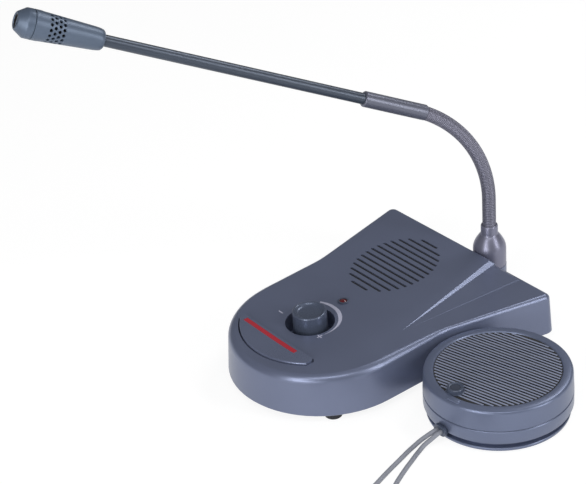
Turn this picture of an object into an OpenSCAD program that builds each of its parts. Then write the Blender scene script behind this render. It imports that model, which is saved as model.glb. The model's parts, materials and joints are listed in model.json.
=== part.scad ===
// Teller window intercom: a desk unit with a gooseneck microphone, and a round speaker for the other side of the glass.

/* [Desk unit] */
// Height of the flat top over the counter
top_h = 35.5; // [32:0.5:42]
// Radius of the round front
lobe_r = 63.2; // [61:0.1:65]
// Half of the width across the rear corners
rear_half_w = 81.4; // [79:0.1:84]
// How far the rear wall lies behind the middle
rear_y = 97.3; // [95:0.1:100]
// Thickness of the moulded walls
wall = 2.4; // [2:0.1:2.6]
// Lean of the side walls, in degrees
draft = 3.2; // [2:0.1:4]
// Round-over of the rim along the front
front_round = 5.6; // [4:0.1:6]
// Round-over of the rim along the sides and the left rear
rear_round = 2.2; // [1.5:0.1:3]
// Height of the rubber feet that shows
foot_h = 6; // [4:0.1:7]

/* [Speaker slots] */
// Number of slots over the main speaker
slot_count = 14; // [10:1:15]
// Width of one slot
slot_w = 2; // [1:0.1:2.6]
// Distance from slot to slot
slot_pitch = 5.25; // [5:0.05:5.4]

/* [Volume knob] */
// Diameter of the knob
knob_d = 23.5; // [20:0.5:25]
// Height of the knob over the top
knob_rise = 8.8; // [4:0.1:10]
// Diameter of the recess that it stands in
recess_d = 32.5; // [31:0.5:34]

/* [Talk key] */
// Radius of the key's round edge
key_r = 50.9; // [50:0.1:51.5]
// Gap round the key
key_gap = 0.8; // [0.7:0.1:0.9]
// Height of the key over the top
key_proud = 1.3; // [0.4:0.1:1.6]

/* [Gooseneck] */
// Diameter of the gooseneck
neck_d = 9.3; // [9:0.1:9.6]
// Height at which the neck starts to bend
bend_start = 71; // [68:1:76]
// Radius of the bend
bend_r = 86.5; // [82:0.5:92]
// Angle of the bend from upright
bend_angle = 65.1; // [60:0.1:68]
// Number of hinged links that stand for the flexible part
link_count = 6; // [6:1:6]

/* [Microphone] */
// Length of the smooth ferrule past the end of the bend
ferrule_len = 38.9; // [36:0.1:42]
// Diameter of the ferrule
ferrule_d = 10.3; // [9.8:0.1:10.6]
// Diameter of the stem
stem_d = 7.4; // [6.8:0.1:7.6]
// Length of the stem
stem_len = 177.4; // [160:0.1:185]
// Length of the microphone's head
head_len = 55; // [52:0.1:58]
// Diameter of the head at its front
head_d = 18.5; // [17.5:0.1:19]

/* [Customer speaker] */
// Diameter of the round speaker's top
puck_d = 93; // [91:0.2:94]
// Height of the round speaker
puck_h = 31.6; // [30:0.1:33]
// Number of slats in its grille
slat_count = 38; // [30:1:40]

/* [Cables] */
// Diameter of both cables
cable_d = 3; // [3:0.5:3]
// Turns of the coiled rest in one layer
coil_turns = 6; // [5:0.5:6]

/* [Hidden] */
$fn = 48;

// Middle of the whole assembly in the desk unit's own places, which becomes the origin
mid_x = 28.6;
mid_y = -25.28;

// Desk unit
lobe_y = -33.7;
flare_r = 60;
flare_angle = 12.5;
flare_out = flare_r * (1 - cos(flare_angle));
side_end_y = rear_y - flare_r * sin(flare_angle) - (rear_half_w - lobe_r - flare_out) / tan(flare_angle);
corner_r = 6;
step_x = 21.4;
floor_z = foot_h;
plate_t = 2;
dish_y = -75.5;
dish_r = 80;
dish_slope = 0.025;
dish_depth = dish_r * dish_slope;
under_top = top_h - dish_depth - wall;

// Stepped facets of the top, which fan out from one point towards the rear right corner
fan = [44, -4];
ridge_a = [23.4, 88.6];
ridge_b = [48.7, 85.8];
fan_side = [77, 88];
depth_a1 = 0.7;
depth_a2 = 1;
depth_b1 = 1.5;
depth_b2 = 0.9;
facet_round = 3.6;

// Speaker slots, which fill a leaning oval
oval_x = -19.7;
oval_y = 45.3;
oval_a = 26.9;
oval_b = 36.2;
oval_lean = 12.6;

knob_x = -7;
knob_y = -38.5;
recess_floor = top_h - 14;
recess_wall = 1.8;
shaft_d = 6;
led_x = -9.4;
led_y = -8.6;
key_x = -5;
key_y = -33.6;
key_chord_y = -64.4;
key_left = -41.3;
key_right = 29.2;
key_corner = 3;
key_pivot_y = -60;
key_pivot_z = top_h - 8.6;
key_floor = top_h - 6.6;
pivot_r = 1.5;
board_z = 9.4;
board_t = 1.6;

// Gooseneck
boot_x = 7;
boot_y = 107.5;
boss_r = 15;
boss_top = 22;
neck_az = 250;
neck_r = neck_d / 2;
link_turn = bend_angle / link_count;
link_len = 2 * bend_r * tan(link_turn / 2);
ball_r = 3.5;
spigot_r = 3.6;
cup_r = 3.85;
shoulder = 1;

// Customer speaker
puck_x = 111.2;
puck_y = 15;
puck_r = puck_d / 2;
puck_flare = 0.5;
puck_seam = 17;
puck_grille_r = 39.9;
slat_turn = 18.3;
slat_w = 0.95;
puck_mic_angle = -91.5;
puck_mic_at = 34.8;
tab_angle = 98;
tab_at = 43;

// Cables: routes on the counter, x and y, from the round speaker to the coils
cable_r = cable_d / 2;
speaker_route = [[109.45, -34.7], [109.45, -37.6], [107.5, -41.2], [105.1, -45.6], [104.9, -50.5],
    [106.2, -56], [108.3, -63],
    [110.6, -71], [113.6, -81], [116.9, -91], [120, -100], [124, -108], [129.5, -115.2], [136, -121.5]];
mic_route = [[112.95, -34.7], [112.95, -37.6], [111.8, -41.6], [110, -46.2], [110.6, -50.9],
    [112.4, -55.4], [114.6, -60.4],
    [117.4, -67], [121, -74.7], [124.9, -82.3], [129.5, -89], [135.3, -95.6], [142.2, -101.8], [150, -108]];
grommet_half = 1.75;
exit_z = [9, 9, 6.6, 3.2];
coil_pitch = 3.5;
coil_in_r = 7.6;
coil_out_r = coil_in_r + coil_turns * coil_pitch;
coil_rings = 24;
coil_way = -43.4;
plug_r = 4.9;
plug_len = 24;

// ---- Helpers ----

function unit(v) = v / norm(v);

module tube(d, bore, h) {
    difference() {
        cylinder(d = d, h = h);
        translate([0, 0, -1]) cylinder(d = bore, h = h + 2);
    }
}

// Closed skin over rings of equal count, from the lowest to the highest
module loft(rings) {
    n = len(rings[0]);
    m = len(rings);
    polyhedron(
        points = [for (ring = rings, p = ring) p],
        faces = concat(
            [[for (i = [0 : n - 1]) i]],
            [[for (i = [n - 1 : -1 : 0]) (m - 1) * n + i]],
            [for (k = [0 : m - 2], i = [0 : n - 1]) let (j = (i + 1) % n)
                each [[k * n + i, (k + 1) * n + i, (k + 1) * n + j], [k * n + i, (k + 1) * n + j, k * n + j]]]
        )
    );
}

// ---- Outline of the desk unit: place, outward normal and rim round-over of each point ----

corner_x = rear_half_w - corner_r * (1 / cos(flare_angle) + tan(flare_angle));

function outline_right() = concat(
    [for (t = [0 : 5 : 90]) let (a = t - 90)
        [lobe_r * cos(a), lobe_y + lobe_r * sin(a), cos(a), sin(a)]],
    [for (i = [0 : 3]) let (t = flare_angle * i / 3)
        [lobe_r + flare_r * (1 - cos(t)), side_end_y + flare_r * sin(t), cos(t), -sin(t)]],
    [for (i = [0 : 8]) let (a = -flare_angle + (90 + flare_angle) * i / 8)
        [corner_x + corner_r * cos(a), rear_y - corner_r + corner_r * sin(a), cos(a), sin(a)]],
    [[step_x + 2, rear_y, 0, 1], [step_x, rear_y, 0, 1]]
);

function outline() = let (half = outline_right(), n = len(half)) concat(
    half,
    [for (i = [n - 1 : -1 : 1]) if (i < n - 2) [-half[i][0], half[i][1], -half[i][2], half[i][3]]]
);

function rim_round(p) = p[0] > step_x + 1 && p[1] > 85 ? facet_round
    : rear_round + (front_round - rear_round) * max(0, min(1, (20 - p[1]) / 60));
function draft_in(z) = (z - floor_z) * tan(draft);

// Plane depth at a point, from its depths at the two rear ends of a facet
function facet_depth(p, u, du, v, dv) = let (
    a = u - fan, b = v - fan, q = p - fan, det = a[0] * b[1] - a[1] * b[0],
    s = (q[0] * b[1] - q[1] * b[0]) / det, t = (a[0] * q[1] - a[1] * q[0]) / det) s * du + t * dv;
function dish_at(p) = dish_slope * max(0, dish_r - norm(p - [0, dish_y]));
function relief_at(p) = p[0] < step_x + 1 || p[1] < fan[1] ? 0
    : p[0] < ridge_b[0] ? max(0, facet_depth(p, ridge_a, depth_a1, ridge_b, depth_a2))
    : max(0, facet_depth(p, ridge_b, depth_b1, fan_side, depth_b2));
function rim_top(p) = top_h - dish_at([p[0], p[1]]) - relief_at([p[0], p[1]]);

function side_ring(inset, z) = [for (p = outline()) [p[0] - p[2] * (inset + draft_in(z)),
    p[1] - p[3] * (inset + draft_in(z)), z]];
function rim_ring(a, lift) = [for (p = outline()) let (r = rim_round(p), z = rim_top(p) - r + r * sin(a) + lift,
    inset = draft_in(top_h) + r * (1 - cos(a))) [p[0] - p[2] * inset, p[1] - p[3] * inset, z]];

// The shallow cone that the top sinks along at the front
module dish(lift) {
    translate([0, dish_y, top_h - dish_depth + lift])
        cylinder(h = dish_depth + 1, r1 = 0, r2 = dish_r + 1 / dish_slope, $fn = 120);
}

// One sloping facet: the space over the plane through the fan's point and its two rear ends.
// Its left wall leans, so the points with lean 1 move left by as much as they rise.
module facet_cut(corners, lean, u, du, v, dv) {
    over = 5;
    loft([[for (p = corners) [p[0], p[1], top_h - facet_depth(p, u, du, v, dv)]],
        [for (i = [0 : len(corners) - 1]) let (p = corners[i])
            [p[0] - lean[i] * (over + facet_depth(p, u, du, v, dv)), p[1], top_h + over]]]);
}

past_rear = 1.2;
rim_lip = 0.04;
module facet_a() {
    facet_cut([fan + [0.1, -2], fan + past_rear * (ridge_b - fan) + [0.8, 0],
        fan + past_rear * (ridge_a - fan)],
        [1, 0, 1], ridge_a, depth_a1, ridge_b, depth_a2);
}
module facet_b() {
    facet_cut([fan + [0.1, -2], [85, 4], [95, 106], fan + past_rear * (ridge_b - fan)],
        [1, 0, 0, 1], ridge_b, depth_b1, fan_side, depth_b2);
}

module plan_slot(x0, x1, y) {
    translate([x0 + slot_w / 2, y, 0]) cylinder(d = slot_w, h = 8, $fn = 16);
    translate([x1 - slot_w / 2, y, 0]) cylinder(d = slot_w, h = 8, $fn = 16);
    translate([x0 + slot_w / 2, y - slot_w / 2, 0]) cube([x1 - x0 - slot_w, slot_w, 8]);
}

// Half length and middle of the leaning oval at one y
function oval_half(y) = let (c = cos(oval_lean), s = sin(oval_lean), k = y - oval_y,
    qa = c * c / pow(oval_a, 2) + s * s / pow(oval_b, 2), qb = 2 * k * s * c * (1 / pow(oval_a,
        2) - 1 / pow(oval_b, 2)),
    qc = k * k * (s * s / pow(oval_a, 2) + c * c / pow(oval_b, 2)) - 1) sqrt(max(0,
        qb * qb - 4 * qa * qc)) / (2 * qa);
function oval_mid(y) = let (c = cos(oval_lean), s = sin(oval_lean), k = y - oval_y,
    qa = c * c / pow(oval_a, 2) + s * s / pow(oval_b, 2), qb = 2 * k * s * c * (1 / pow(oval_a,
        2) - 1 / pow(oval_b, 2)))
    oval_x - qb / (2 * qa);

module oval_plan(grow) {
    translate([oval_x, oval_y]) rotate(oval_lean)
        polygon([for (t = [0 : 7.5 : 352.5]) [(oval_a + grow) * cos(t), (oval_b + grow) * sin(t)]]);
}

module key_plan(grow) {
    near = -100;
    far = key_chord_y + grow / 2;
    intersection() {
        translate([key_x, key_y]) circle(r = key_r + grow, $fn = 128);
        union() {
            translate([key_left - grow, near]) square([key_right - key_left + 2 * grow - key_corner,
                far - near]);
            translate([key_left - grow, near]) square([key_right - key_left + 2 * grow,
                far - key_corner - near]);
            translate([key_right + grow - key_corner, far - key_corner]) circle(r = key_corner);
        }
    }
}

foot_spots = [[44, -63.5], [-44, -63.5], [64, 84], [-64, 84]];
screw_spots = [[46, -12], [-46, -12], [60, 62], [-60, 62], [0, 85]];

module upper_housing() {
    color([0.27, 0.29, 0.35])
    difference() {
        union() {
            difference() {
                loft(concat(
                    [side_ring(0.6, floor_z), side_ring(0, floor_z + 0.6)],
                    [for (a = [0 : 15 : 90]) rim_ring(a, -rim_lip)],
                    [[for (p = rim_ring(90, 0)) [p[0], p[1], top_h]]]
                ));
                loft([side_ring(wall, floor_z - 1), side_ring(wall, under_top)]);
                dish(0);
                facet_a();
                facet_b();
            }
            translate([knob_x, knob_y, recess_floor - recess_wall])
                cylinder(d = recess_d + 2 * recess_wall, h = under_top - recess_floor + recess_wall + 1);
            translate([oval_x, oval_y, under_top - 5]) tube(63, 59.5, 6);
            for (p = screw_spots) translate([p[0], p[1], floor_z + plate_t + 0.1])
                cylinder(d = 7, h = under_top - plate_t - floor_z + 0.5, $fn = 24);
            neck_boss();
            for (x = [-30, 22]) translate([x, key_pivot_y, key_pivot_z]) pivot_cheek();
        }
        for (i = [0 : slot_count - 1]) let (y = oval_y + (i - (slot_count - 1) / 2) * slot_pitch)
            translate([0, 0, top_h - 5]) plan_slot(oval_mid(y) - oval_half(y), oval_mid(y) + oval_half(y), y);
        translate([0, 0, under_top - 0.5]) linear_extrude(top_h - wall - under_top + 0.5) oval_plan(1.8);
        translate([knob_x, knob_y, recess_floor]) cylinder(d = recess_d, h = 20);
        translate([knob_x, knob_y, 10]) cylinder(d = 8, h = 20);
        translate([0, 0, key_floor - 12]) linear_extrude(30) key_plan(key_gap);
        translate([led_x, led_y, 20]) cylinder(d = 6.2, h = 20);
        for (p = screw_spots) translate([p[0], p[1], floor_z]) cylinder(d = 2.5, h = 12, $fn = 24);
        translate([boot_x, boot_y, floor_z - 1]) cylinder(r = boss_r - wall, h = boss_top - wall - floor_z + 1);
        translate([boot_x, boot_y, 10]) cylinder(d = 12, h = 20);
        translate([-58, rear_y - 6, 8.5]) cube([46, 12, 12]);
    }
}

// Two cheeks under the top that carry the talk key's pin
module pivot_cheek() {
    difference() {
        translate([0, -2.6, -3]) cube([3, 5.2, 7.8]);
        translate([-1, 0, 0]) rotate([0, 90, 0]) cylinder(r = pivot_r, h = 5, $fn = 32);
    }
}

// Half-round tower on the rear wall, under the gooseneck
module neck_boss() {
    in_wall = rear_y - wall + 0.3;
    difference() {
        translate([boot_x, boot_y, floor_z]) rotate_extrude($fn = 64)
            polygon([[0, 0], [boss_r + 0.4, 0], [boss_r, boss_top - floor_z - 2],
                each [for (a = [0 : 15 : 90]) [boss_r - 2 + 2 * cos(a), boss_top - floor_z - 2 + 2 * sin(a)]],
                [0, boss_top - floor_z]]);
        translate([boot_x - 2 * boss_r, in_wall + 0.3 - 4 * wall, 0]) cube([4 * boss_r, 4 * wall, top_h]);
    }
    translate([boot_x - boss_r, in_wall, floor_z]) cube([2 * boss_r, boot_y - in_wall, boss_top - floor_z - 2]);
    translate([boot_x - boss_r + 2, in_wall, floor_z]) cube([2 * boss_r - 4, boot_y - in_wall,
        boss_top - floor_z]);
}

module base_plate() {
    color([0.16, 0.17, 0.2])
    difference() {
        union() {
            loft([side_ring(wall + 0.35, floor_z), side_ring(wall + 0.35, floor_z + plate_t)]);
            for (p = [[30, -20], [-30, -20], [40, 30], [-52, 30]])
                translate([p[0], p[1], floor_z + 1]) cylinder(d = 6, h = board_z - floor_z - 1, $fn = 24);
        }
        for (p = screw_spots) {
            translate([p[0], p[1], 0]) cylinder(d = 3.2, h = 9, $fn = 24);
            translate([p[0], p[1], 0]) cylinder(d = 6, h = floor_z + 0.9, $fn = 24);
        }
        for (p = foot_spots) translate([p[0], p[1], 0]) cylinder(d = 12.2, h = floor_z + 0.8);
        for (x = [-30 : 6 : 0]) translate([x, 40, 0]) cube([2.5, 24, 9]);
    }
}

module rubber_feet() {
    color([0.09, 0.09, 0.1])
    for (p = foot_spots) translate([p[0], p[1], 0]) {
        cylinder(d1 = 11, d2 = 12, h = 1);
        translate([0, 0, 1]) cylinder(d = 12, h = floor_z - 0.2);
    }
}

module housing_screws() {
    color([0.55, 0.55, 0.58])
    for (p = screw_spots) translate([p[0], p[1], floor_z - 0.4]) {
        difference() {
            cylinder(d = 5.6, h = 1.3, $fn = 24);
            translate([0, 0, -0.1]) cylinder(d = 2.4, h = 0.9, $fn = 6);
        }
        cylinder(d = 2.5, h = 9, $fn = 24);
    }
}

speaker_z = under_top - 0.3;

module main_speaker_frame() {
    color([0.3, 0.3, 0.32])
    translate([oval_x, oval_y, speaker_z]) rotate([180, 0, 0]) rotate_extrude($fn = 64)
        polygon([[24.5, 0], [29.4, 0], [29.4, 1.2], [26.5, 1.2], [15, 10], [15, 13], [8, 13],
            [8, 11.8], [13.9, 11.8],
            [13.9, 9.4], [25, 1.2]]);
}

module main_speaker_cone() {
    color([0.1, 0.1, 0.11])
    translate([oval_x, oval_y, speaker_z - 0.4]) rotate([180, 0, 0]) rotate_extrude($fn = 64)
        polygon([[0, 5], [5, 6], [7.5, 7.9], [21.4, 1.2], [22.5, 0.2], [23.6, 1], [23.6, 1.5],
            [22.5, 0.8], [21.4, 1.9],
            [7.5, 8.7], [4.9, 6.8], [0, 5.8]]);
}

module main_speaker_magnet() {
    color([0.35, 0.35, 0.36])
    translate([oval_x, oval_y, speaker_z - 19]) rotate_extrude($fn = 48)
        polygon([[0, 0], [13, 0], [13.5, 0.5], [13.5, 5.5], [13, 6], [4, 6], [4, 7.4], [0, 7.4]]);
}

module grille_cloth() {
    color([0.05, 0.05, 0.06])
    translate([0, 0, top_h - wall - 0.45]) linear_extrude(0.4) oval_plan(1.4);
}

module circuit_board() {
    color([0.12, 0.35, 0.2])
    difference() {
        union() {
            translate([-56, -26, board_z]) cube([100, 60, board_t]);
            translate([-30, -84, board_z]) cube([58, 59, board_t]);
        }
        translate([0, 0, board_z - 1]) for (x = [-46, 40]) translate([x, 24, 0]) cylinder(d = 3.2,
            h = 5, $fn = 24);
        translate([oval_x, oval_y, board_z - 1]) cylinder(r = 15, h = 5);
        for (x = [46, -46]) translate([x, -12, board_z - 1]) cylinder(d = 8.6, h = 5);
    }
}

module volume_pot() {
    color([0.5, 0.5, 0.52])
    translate([knob_x, knob_y, 0])
    difference() {
        union() {
            translate([-8.5, -8.5, board_z + board_t]) cube([17, 17, 6]);
            translate([0, 0, board_z + board_t + 6]) cylinder(d = 7.4,
                h = recess_floor + 0.7 - board_z - board_t - 6);
        }
        translate([0, 0, board_z + board_t + 1]) cylinder(d = shaft_d + 0.1, h = 30);
    }
}

switch_x = -4;
switch_y = -76;
switch_top = board_z + board_t + 4.3;

module tact_switch() {
    color([0.2, 0.2, 0.22])
    translate([switch_x, switch_y, board_z + board_t]) {
        translate([-3, -3, 0]) cube([6, 6, 3.5]);
        translate([0, 0, 3.5]) cylinder(d = 3.4, h = 0.8);
    }
}

// Soft dome between the switch and the key, which brings the key back up
module key_return_dome() {
    color([0.75, 0.75, 0.72])
    translate([switch_x, switch_y, switch_top + 0.05]) rotate_extrude($fn = 32)
        polygon([[0, 0], [3.6, 0], [3.2, 2], [2.6, key_floor - switch_top - 2.2],
            [0, key_floor - switch_top - 2.2]]);
}

module key_hinge_pin() {
    color([0.6, 0.6, 0.62])
    translate([-30, key_pivot_y, key_pivot_z]) rotate([0, 90, 0]) cylinder(r = pivot_r, h = 55, $fn = 32);
}

module status_led() {
    color([0.35, 0.05, 0.06])
    translate([led_x, led_y, top_h - 8]) {
        cylinder(d = 5, h = 8);
        translate([0, 0, 8]) scale(1) intersection() {
            translate([0, 0, -3]) sphere(r = 3.9);
            cylinder(d = 5, h = 4);
        }
        for (x = [-1.27, 1.27]) translate([x, 0, board_z + board_t - top_h + 8])
            cylinder(d = 0.6, h = top_h - 8 - board_z - board_t, $fn = 16);
    }
}

module led_bezel() {
    color([0.2, 0.2, 0.23])
    translate([led_x, led_y, top_h - 4.5]) rotate_extrude()
        polygon([[2.55, 0], [3.1, 0], [3.1, 4.5], [3.6, 4.5], [3.6, 4.8], [3.2, 5.1], [2.8, 5.1], [2.55, 4.9]]);
}

module rear_socket_strip() {
    color([0.14, 0.14, 0.16])
    difference() {
        translate([-57.8, rear_y - 5.5, 8.7]) cube([45.6, 4, 11.6]);
        translate([-50, rear_y - 8, 14.5]) rotate([-90, 0, 0]) cylinder(d = 8.2, h = 10);
        for (x = [-36, -22]) translate([x, rear_y - 8, 14.5]) rotate([-90, 0, 0]) cylinder(d = 6.4, h = 10);
    }
}

module dc_inlet() {
    color([0.08, 0.08, 0.09])
    translate([-50, rear_y - 1.6, 14.5]) rotate([90, 0, 0]) {
        difference() {
            cylinder(d = 8, h = 14);
            translate([0, 0, -1]) cylinder(d = 5.6, h = 11);
        }
        cylinder(d = 2.1, h = 11, $fn = 24);
    }
}

module line_jacks() {
    color([0.12, 0.12, 0.13])
    for (x = [-36, -22]) translate([x, rear_y - 1.6, 14.5]) rotate([90, 0, 0]) {
        difference() {
            union() {
                cylinder(d = 6.2, h = 4.5);
                translate([-4, -4, 4.2]) cube([8, 8, 10]);
            }
            translate([0, 0, -1]) cylinder(d = 3.7, h = 13);
        }
    }
}

// Threaded socket in the tower that holds the gooseneck
module neck_socket() {
    color([0.5, 0.5, 0.52])
    translate([boot_x, boot_y, 0])
    difference() {
        union() {
            translate([0, 0, 10]) cylinder(d = 11.8, h = 12.4);
            translate([0, 0, boss_top]) cylinder(d = 15, h = 2.2);
        }
        translate([0, 0, 9]) cylinder(r = neck_r + 0.07, h = 20);
    }
}

module neck_nut() {
    color([0.62, 0.62, 0.64])
    translate([boot_x, boot_y, boss_top - wall - 4.2])
    difference() {
        cylinder(d = 19, h = 4, $fn = 6);
        translate([0, 0, -1]) cylinder(d = 12, h = 8);
    }
}

module neck_boot() {
    color([0.12, 0.125, 0.14])
    translate([boot_x, boot_y, boss_top]) rotate_extrude($fn = 64)
        polygon([[7.7, 0.1], [9.8, 0.1], [10.3, 2], [10.9, 6], [11.2, 9], [11.3, 11.5], [11.1, 13.5],
            [10.6, 15.5], [9.8, 17.5],
            [8.7, 19.6], [7.5, 21.6], [6.5, 23], [6, 23.4], [5.7, 24], [5.7, 29.4], [5.3, 30.2],
                [neck_r + 0.5, 30.4],
            [neck_r + 0.08, 30], [neck_r + 0.08, 4], [7.7, 2.6]]);
}

// ---- Talk key ----

module talk_key() {
    color([0.3, 0.32, 0.38])
    difference() {
        union() {
            translate([0, 0, key_floor]) linear_extrude(12) key_plan(0);
            for (x = [-25, 16]) translate([x, 0, 0]) {
                translate([0, key_pivot_y, key_pivot_z]) rotate([0, 90, 0]) cylinder(r = 2.6, h = 4, $fn = 32);
                translate([0, key_chord_y - 5, key_pivot_z - 1.5]) cube([4, key_pivot_y - key_chord_y + 5, 3]);
                translate([0, key_chord_y - 5, key_pivot_z - 1.5]) cube([4, 4, 4]);
            }
        }
        dish(key_proud);
        translate([-60, dish_y - 40, top_h + 1.4]) cube([120, 80, 20]);
        translate([stripe_x, stripe_y, top_h - 2.4]) cube([stripe_len, stripe_w, 6]);
        for (x = [-25, 16]) translate([x - 1, key_pivot_y, key_pivot_z]) rotate([0, 90,
            0]) cylinder(r = pivot_r + 0.05, h = 6, $fn = 32);
    }
}

stripe_x = -37.4;
stripe_y = -69.5;
stripe_len = 51.8;
stripe_w = 3.4;

module key_stripe() {
    color([0.72, 0.13, 0.13])
    difference() {
        translate([stripe_x + 0.05, stripe_y + 0.05, top_h - 2.35]) cube([stripe_len - 0.1, stripe_w - 0.1, 4]);
        dish(key_proud + 0.05);
    }
}

// ---- Volume knob ----

knob_r = knob_d / 2;
knob_bottom = recess_floor + 1.2;
knob_h = top_h - dish_at([knob_x, knob_y]) + knob_rise - knob_bottom;

module volume_knob() {
    color([0.2, 0.21, 0.25])
    translate([knob_x, knob_y, knob_bottom])
    difference() {
        rotate_extrude($fn = 64)
            polygon([[0, 0], [knob_r - 0.6, 0], [knob_r, 0.6], [knob_r - 0.4, knob_h - 1.2],
                [knob_r - 0.7, knob_h - 0.4],
                [knob_r - 1.3, knob_h], [knob_r - 1.9, knob_h - 0.1], [knob_r - 3, knob_h - 1.3],
                    [knob_r - 5, knob_h - 1.9],
                [0, knob_h - 2.3]]);
        translate([0, 0, -1]) tube(19, 10.5, 10);
        translate([0, 0, -1]) cylinder(d = shaft_d, h = 11);
    }
}

module knob_shaft() {
    color([0.66, 0.66, 0.68])
    translate([knob_x, knob_y, board_z + board_t + 1.2]) cylinder(d = shaft_d,
        h = knob_bottom + 9.9 - board_z - board_t - 1.2);
}

// ---- Gooseneck: each link turns about a level pin where the tangents of the bend meet ----

joint_in = bend_r * tan(link_turn / 2);
function joint_hz(k) = k == 1 ? [0, bend_start + joint_in]
    : joint_hz(k - 1) + link_len * [sin((k - 1) * link_turn), cos((k - 1) * link_turn)];

// Puts a shape that was made along +Z onto the neck's plane, at a place and a lean from upright
module on_neck(hz, lean) {
    translate([boot_x, boot_y, 0]) rotate([0, 0, neck_az]) translate([hz[0], 0, hz[1]]) rotate([0,
        lean, 0]) children();
}

module link_solid(length) {
    difference() {
        union() {
            rotate_extrude($fn = 32)
                polygon([[0, shoulder], [neck_r - 0.5, shoulder], [neck_r, shoulder + 0.5],
                    each [for (i = [1 : 3]) let (z = shoulder + (length - 2 * shoulder) * i / 4)
                        each [[neck_r, z - 0.5], [neck_r - 0.35, z], [neck_r, z + 0.5]]],
                    [neck_r, length - shoulder - 0.5], [neck_r - 0.5, length - shoulder],
                        [0, length - shoulder]]);
            sphere(r = ball_r, $fn = 32);
        }
        translate([0, 0, length]) sphere(r = cup_r, $fn = 32);
    }
}

// The last ball and the spigot that the ferrule is fixed on
module link_spigot() {
    translate([0, 0, shoulder]) cylinder(r = spigot_r, h = joint_in - shoulder, $fn = 32);
    sphere(r = ball_r, $fn = 32);
}

module neck_link(k) {
    color([0.15, 0.16, 0.18])
    on_neck(joint_hz(k), k * link_turn) {
        if (k < link_count) link_solid(link_len);
        else link_spigot();
    }
}

module neck_root() {
    color([0.15, 0.16, 0.18])
    translate([boot_x, boot_y, 0])
    difference() {
        translate([0, 0, 12]) rotate_extrude($fn = 32)
            polygon([[0, 0], [neck_r - 0.5, 0], [neck_r, 0.5],
                each [for (i = [1 : 3]) let (z = 40.4 + i * 6) each [[neck_r, z - 0.5],
                    [neck_r - 0.35, z], [neck_r, z + 0.5]]],
                [neck_r, joint_hz(1)[1] - 12 - shoulder - 0.5], [neck_r - 0.5, joint_hz(1)[1] - 12 - shoulder],
                [0, joint_hz(1)[1] - 12 - shoulder]]);
        translate([0, 0, joint_hz(1)[1]]) sphere(r = cup_r, $fn = 32);
    }
}

module neck_link_1() { neck_link(1); }
module neck_link_2() { neck_link(2); }
module neck_link_3() { neck_link(3); }
module neck_link_4() { neck_link(4); }
module neck_link_5() { neck_link(5); }
module neck_link_6() { neck_link(6); }

// ---- Microphone, made along +Z from the end of the bend ----

module on_stem(along) {
    on_neck(joint_hz(link_count), bend_angle) translate([0, 0, joint_in + along]) children();
}

cap_len = 13;
ferrule_from = shoulder + 0.1 - joint_in;
ferrule_r = ferrule_d / 2;
stem_r = stem_d / 2;
head_from = ferrule_len + stem_len;
head_r = head_d / 2;

module stem_ferrule() {
    color([0.2, 0.21, 0.24])
    on_stem(0) rotate_extrude()
        polygon([[spigot_r + 0.05, ferrule_from], [ferrule_r - 0.6, ferrule_from],
            [ferrule_r, ferrule_from + 0.6],
            [ferrule_r, ferrule_len - 1], [ferrule_r - 0.4, ferrule_len - 0.3], [ferrule_r - 0.9, ferrule_len],
            [stem_r, ferrule_len], [stem_r, 6], [0, 6], [0, 0.1], [spigot_r + 0.05, 0.1]]);
}

module stem_tube() {
    color([0.13, 0.14, 0.16])
    on_stem(6) difference() {
        cylinder(d = stem_d, h = head_from + 4 - 6, $fn = 32);
        translate([0, 0, -1]) cylinder(d = stem_d - 1.4, h = head_from + 4, $fn = 32);
    }
}

// Rows of small vents round the head
vent_rows = 4;
vent_count = 14;
vent_from = 24.2;
vent_pitch = 2.8;

module mic_housing() {
    color([0.17, 0.18, 0.21])
    on_stem(head_from) difference() {
        rotate_extrude($fn = 48)
            polygon([[0, 0], [4.6, 0], [5.8, 0.5], [6.5, 1.5], [head_r - 2.4, 3.4], [head_r - 2.1, 6],
                [head_r - 0.4, head_len - cap_len - 2.2], [head_r, head_len - cap_len - 1.6],
                    [head_r, head_len - cap_len],
                [head_r - 1.1, head_len - cap_len], [head_r - 1.1, head_len - cap_len + 3],
                    [head_r - 2, head_len - cap_len + 3],
                [head_r - 2, 34], [head_r - 3, 24], [5, 20], [0, 20]]);
        translate([0, 0, -1]) cylinder(d = stem_d, h = 5, $fn = 32);
        for (row = [0 : vent_rows - 1], i = [0 : vent_count - 1]) translate([0, 0,
            vent_from + vent_pitch * row])
            rotate([0, 90, 360 * (i + row % 2 / 2) / vent_count]) cylinder(d = 1.6, h = 12, $fn = 16);
    }
}

module mic_cap() {
    color([0.14, 0.15, 0.17])
    on_stem(head_from + head_len - cap_len) difference() {
        rotate_extrude($fn = 48)
            polygon([[head_r - 0.9, 0.3], [head_r - 0.1, 0.3], [head_r - 0.1, 3], [head_r - 0.3, 3.3],
                [head_r - 0.3, 7.2], [head_r - 0.8, 8.3],
                [5.7, cap_len - 0.4], [5.1, cap_len], [4.6, cap_len], [4.2, cap_len - 0.5], [4.2, cap_len - 2],
                [6.9, cap_len - 4.6], [7.4, 3.4], [head_r - 0.9, 3.4]]);
        for (row = [0 : 1], a = [0 : 45 : 315]) translate([0, 0, 4.4 + 2.6 * row]) rotate([0, 90,
            a + 22.5 * row])
            cylinder(d = 1.1, h = 12, $fn = 16);
    }
}

module mic_capsule() {
    color([0.6, 0.6, 0.62])
    on_stem(head_from + 34) difference() {
        cylinder(r = head_r - 2.05, h = 6.5);
        translate([0, 0, 5.9]) cylinder(d = 6, h = 2);
    }
}

module mic_foam() {
    color([0.07, 0.07, 0.08])
    on_stem(head_from + 40.6) cylinder(r = 6.8, h = 9);
}

// ---- Round speaker for the customer's side ----

module at_puck() { translate([puck_x, puck_y, 0]) children(); }

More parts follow.
